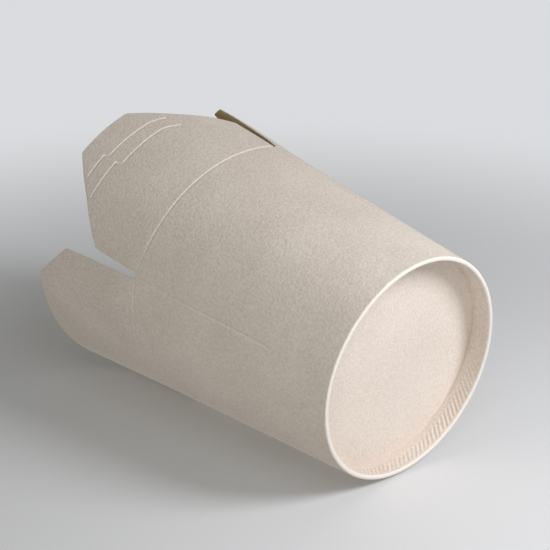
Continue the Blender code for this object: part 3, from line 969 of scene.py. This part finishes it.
# %% Depth of the scores on a flap
SECOND_CREASE = 0.0025
SECOND_HALF = math.radians(30.0)
SECOND_FADE = math.radians(1.5)
# How far above a lock score its painted highlight lies, on the slope that faces the light.
HIGHLIGHT_SIDE = Vector((0.0, 0.0002))


def flap_scores(flat, above_foot, angle, half, routes, second_crease):
    """How deep a point of a flap is scored, and the depth that its pale colour and painted highlight go
    by.
    """
    strength = crease_strength(angle, half)
    depth = groove(above_foot) * strength
    if second_crease:
        ends = 1.0 - smooth(SECOND_HALF - SECOND_FADE, SECOND_HALF, abs(angle))
        depth = max(depth, groove(above_foot - SECOND_CREASE) * ends * strength)
    # On the wide flaps the crease is painted pale: partly paler fibre, partly painted highlight.
    pale = depth * (strength if half == CORNER else 0.0)
    if routes:
        depth = max(depth, groove(distance_to_any(routes, flat)))
        # A painted highlight just above each lock score, on its lit slope.
        pale = max(pale, groove(distance_to_any(routes, flat - HIGHLIGHT_SIDE)))
        # Painted light at the jogs, which lifts them out of their shade.
        pale = max(pale, JOG_PAINTED_LIGHT * groove(distance_to_any([route[1:3] for route in routes], flat)))
    return depth, pale


on_score, _ = flap_scores(locks[0][-1], 0.04, 0.0, CORNER, locks, False)
print("Depth on a lock score in mm:", round(on_score * 1000, 2))

# %% [markdown]
# ## Roll the flaps and stand them up
# Rolling keeps each point's height and turns its distance across the flap into an angle round
# the cone. The open flaps flare out a little at their sides, because a creased flap is a bit
# flatter than the cone. No two flaps of a real tub stand quite alike, and four copies of one
# shape would look drawn. So the front flap is a little wider at its right side corner, and
# the right flap is flatter than the others, leans in towards its tip and is slightly twisted.

# %% Roll a flap onto the cone
FLARE = math.radians(2.0)
FLARE_ANGLE = math.radians(45.0)
FLARE_FOOT = 0.0003
CURVE_FADE = 0.010
WIDER_GROWS = (0.0, 0.022)
WIDER_FADES = (0.024, 0.042)
LEAN_RISE = 0.038
LEAN_CURVE = 2.5
EASE_CURVE = 0.85
EASE_MOST = 1.3
TIP_FADE = (0.038, 0.052)
TWIST_DROP = 0.0007


def roll_flap(
    piece, shape, direction, routes, second_crease,
    wider=0.0, more_out=0.0, flatter=0.0, lean=0.0, twist=0.0,
):
    """Presses a flat flap, rolls it and stands it up in its direction round the cone."""
    half = shape["half"]
    pale_and_highlight = []
    for vertex in piece.data.vertices:
        flat = vertex.co.xy
        angle = flat.x / SCALE
        rise = max(flat.y - CREASE_HEIGHT, 0.0)
        if angle > 0:
            angle *= 1.0 + wider * smooth(*WIDER_GROWS, rise) * (1.0 - smooth(*WIDER_FADES, rise))
        follow = 1.0 - smooth(0.0, CURVE_FADE, rise)
        z = flat.y + CREASE_RISE * (angle / half) ** 2 * follow
        above_foot = z - crease_z(angle, half)
        depth, pale = flap_scores(flat, above_foot, angle, half, routes, second_crease)
        flare = FLARE * (angle / FLARE_ANGLE) ** 2 if not flatter else 0.0
        radius = cone_radius(z) + max(above_foot - FLARE_FOOT, 0.0) * math.tan(flare) - depth
        ease = 1.0 - flatter * min(rise / LEAN_RISE, EASE_MOST) ** EASE_CURVE
        across = radius / ease * math.sin(angle * ease)
        outwards = radius - radius / ease * (1.0 - math.cos(angle * ease))
        outwards -= lean * (rise / LEAN_RISE) ** LEAN_CURVE
        radius, turned = math.hypot(across, outwards), math.atan2(across, outwards) + direction
        if twist:
            twisted = smooth(0.0, LEAN_RISE, rise) * (1.0 - 0.5 * smooth(*TIP_FADE, rise))
            turned += twist * twisted
            z -= TWIST_DROP * twisted
        out, swing = square_up(turned, z, more_out * smooth(0.0, WIDE_SIDE_RISE, rise))
        radius, turned = radius + out, turned + swing
        vertex.co = (radius * math.cos(turned), radius * math.sin(turned), z)
        # Kept per point as pale colour and painted highlight, for the material.
        pale_and_highlight.append(SCORE_TINT_AND_HIGHLIGHT * pale / SCORE_DEPTH)
    attribute = piece.data.attributes.new("pale_and_highlight", "FLOAT", "POINT")
    attribute.data.foreach_set("value", pale_and_highlight)
    face_out(piece, (0, 0, 0.12))
    finish_board(piece, (cream_face, kraft_face, cut_edge))


WIDE["slot"] = "wide_flap_paper"
NARROW["slot"] = "narrow_flap_paper"
roll_flap(front_board, WIDE, FRONT, locks, False, wider=0.068, more_out=-0.0006)
roll_flap(back_board, WIDE, BACK, [], False)
roll_flap(left_board, NARROW, LEFT, [], True)
roll_flap(right_board, NARROW, RIGHT, [], True, flatter=0.2, lean=0.002, twist=math.radians(1.2))

# %% [markdown]
# ## Put the flap sheets in place of the measured flaps
# Board doesn't hinge like a door: a few millimetres above the crease it curls over, and its foot stays
# joined to the wall. Here each flap sheet's place is baked into its mesh, and the measured flap that it
# stands in for is hidden.

# %% Bake each flap's place and hide the measured flap
for piece, body in (
    (front_board, "front_flap"), (back_board, "back_flap"),
    (left_board, "left_flap"), (right_board, "right_flap"),
):
    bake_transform(piece)
    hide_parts(body)
    print(piece.name, "bends between tub and", body)

# %% [markdown]
# ## The camera
# The photograph shows the tub lying down, base towards the viewer. The measured tub stands
# upright and may not be moved, so the camera goes where it would be if it had rolled over with
# the tub: below the base, to one side, and tilted. Its place comes from the photograph's own
# outlines: the rim's ellipse and the straight sides fix the direction, distance and lens.

# %% Place the camera
CAMERA_PLACE = Vector((-0.207568, -0.436849, -0.328093))
CAMERA_RIGHT = Vector((0.672915, 0.298868, -0.676655))
CAMERA_UP = Vector((0.657529, -0.660734, 0.362058))
CAMERA_BACK = Vector((-0.338882, -0.688555, -0.641133))

start_clean()
bpy.ops.object.camera_add()
camera = bpy.context.object
camera.name = "viewpoint"
turned = Matrix((CAMERA_RIGHT, CAMERA_UP, CAMERA_BACK)).transposed()
camera.matrix_world = Matrix.Translation(CAMERA_PLACE) @ turned.to_4x4()
camera.data.lens = 108.73
camera.data.sensor_width = 36.0
camera.data.clip_start = 0.01
scene.camera = camera
print("Camera distance in mm:", round(CAMERA_PLACE.length * 1000))

# %% [markdown]
# ## Two pale floors
# The tub lies on a floor in the photograph, but stands upright in its file, and is seen from
# all sides there. So there are two pale floors: the table that it stands on, and the floor
# that its side rests on in the photograph. Each shows only from its own front, fades out
# softly into the pale background, and doesn't hold back the light of the lamps behind it. A
# floor keeps the tub's shadow, and that is what tells the eye where the tub rests.

# %% Floor material and floors
BACKDROP = (0.70, 0.715, 0.735)
FLOOR_COLOUR = (0.74, 0.75, 0.77)


def floor_material(name, clear, faded):
    material = bpy.data.materials.new(name)
    material.use_nodes = True
    tree = material.node_tree
    nodes, links = tree.nodes, tree.links
    nodes.clear()
    output = nodes.new("ShaderNodeOutputMaterial")
    plain = nodes.new("ShaderNodeBsdfDiffuse")
    plain.inputs["Color"].default_value = (*FLOOR_COLOUR, 1.0)
    away = nodes.new("ShaderNodeBsdfTransparent")
    show = nodes.new("ShaderNodeMixShader")
    ray = nodes.new("ShaderNodeLightPath")
    side = nodes.new("ShaderNodeNewGeometry")
    place = nodes.new("ShaderNodeTexCoord")
    distance = nodes.new("ShaderNodeVectorMath")
    distance.operation = "LENGTH"
    fade = nodes.new("ShaderNodeMapRange")
    fade.interpolation_type = "SMOOTHSTEP"
    fade.inputs["From Min"].default_value = clear
    fade.inputs["From Max"].default_value = faded
    fade.inputs["To Min"].default_value = 1.0
    fade.inputs["To Max"].default_value = 0.0
    links.new(place.outputs["Object"], distance.inputs[0])
    links.new(distance.outputs["Value"], fade.inputs["Value"])
    front = calculate(tree, "SUBTRACT", 1.0, side.outputs["Backfacing"])
    seen = calculate(tree, "MULTIPLY", front, ray.outputs["Is Camera Ray"])
    shown = calculate(tree, "MULTIPLY", seen, fade.outputs["Result"])
    links.new(shown, show.inputs["Fac"])
    links.new(away.outputs[0], show.inputs[1])
    links.new(plain.outputs[0], show.inputs[2])
    links.new(show.outputs[0], output.inputs["Surface"])
    return material


def add_floor(name, place, facing, clear, faded):
    start_clean()
    bpy.ops.mesh.primitive_circle_add(vertices=96, radius=faded, fill_type="NGON")
    floor = name_piece(name)
    turn = Vector((0, 0, 1)).rotation_difference(Vector(facing))
    floor.matrix_world = Matrix.Translation(Vector(place)) @ turn.to_matrix().to_4x4()
    floor.data.materials.append(floor_material(name, clear, faded))
    return floor


REST_ANGLE = math.radians(119.2)
REST_SLOPE = 0.0841
REST_RADIUS = 0.0434
REST_HEIGHT = 0.07
rest_facing = Vector((-math.cos(REST_ANGLE), -math.sin(REST_ANGLE), REST_SLOPE)).normalized()
rest_side = Vector((math.cos(REST_ANGLE), math.sin(REST_ANGLE), 0.0))
rest_place = rest_side * (REST_RADIUS + REST_SLOPE * REST_HEIGHT) + Vector((0, 0, REST_HEIGHT))
table = add_floor("table_floor", (0, 0, -0.0001), (0, 0, 1), clear=0.10, faded=0.42)
resting_floor = add_floor("resting_floor", rest_place, rest_facing, clear=0.12, faded=0.40)
print("Floors:", table.name, resting_floor.name)

# %% [markdown]
# ## Soft studio light
# A large soft lamp stands close by on the viewer's right, so the wall is bright on that side
# and falls off towards the mouth. A weaker one on the left fills the shade, and one in front
# grazes the wall, so that its side crease shows. A faint one below gives back what a pale floor
# would, one above lights the mouth, and the pale room fills the rest. The lamps are set so
# that a colour renders about as it is written.

# %% Lamps and room
def add_lamp(name, place, target, size, power, colour):
    start_clean()
    bpy.ops.object.light_add(type="AREA", location=place)
    lamp = bpy.context.object
    lamp.name = name
    lamp.data.shape = "DISK"
    lamp.data.size = size
    lamp.data.energy = power
    lamp.data.color = colour
    lamp.visible_camera = False
    lamp.rotation_euler = (Vector(target) - Vector(place)).to_track_quat("-Z", "Y").to_euler()
    return lamp


LAMPS = (
    ("key_lamp", (0.271, -0.190, -0.249), (0, 0, 0.01), 0.19, 1.28, (1.0, 1.0, 1.03)),
    ("left_fill", (-0.315, -0.197, -0.187), (0, 0, 0.05), 0.20, 0.31, (1.0, 1.0, 0.96)),
    ("front_fill", (-0.0128, -0.2691, -0.1538), (0, 0, 0.02), 0.20, 0.15, (1.0, 1.0, 0.98)),
    ("floor_bounce", (-0.12, 0.17, -0.22), (-0.02, 0.03, 0.0), 0.20, 0.09, (1.0, 1.0, 0.98)),
    ("top_lamp", (0.10, 0.35, 0.42), (0, 0, 0.07), 0.30, 1.0, (1.0, 1.0, 1.0)),
)
lamps = [add_lamp(*row) for row in LAMPS]

room = bpy.data.worlds.new("pale_room")
scene.world = room
room.use_nodes = True
nodes, links = room.node_tree.nodes, room.node_tree.links
light = nodes["Background"]
light.inputs["Color"].default_value = (1.0, 0.995, 0.95, 1.0)
light.inputs["Strength"].default_value = 0.305
backdrop = nodes.new("ShaderNodeBackground")
backdrop.inputs["Color"].default_value = (*BACKDROP, 1.0)
backdrop.inputs["Strength"].default_value = 1.0
ray = nodes.new("ShaderNodeLightPath")
either = nodes.new("ShaderNodeMixShader")
links.new(ray.outputs["Is Camera Ray"], either.inputs["Fac"])
links.new(light.outputs[0], either.inputs[1])
links.new(backdrop.outputs[0], either.inputs[2])
links.new(either.outputs[0], nodes["World Output"].inputs["Surface"])

scene.view_settings.view_transform = "Standard"
print("Lamps:", [lamp.name for lamp in lamps])
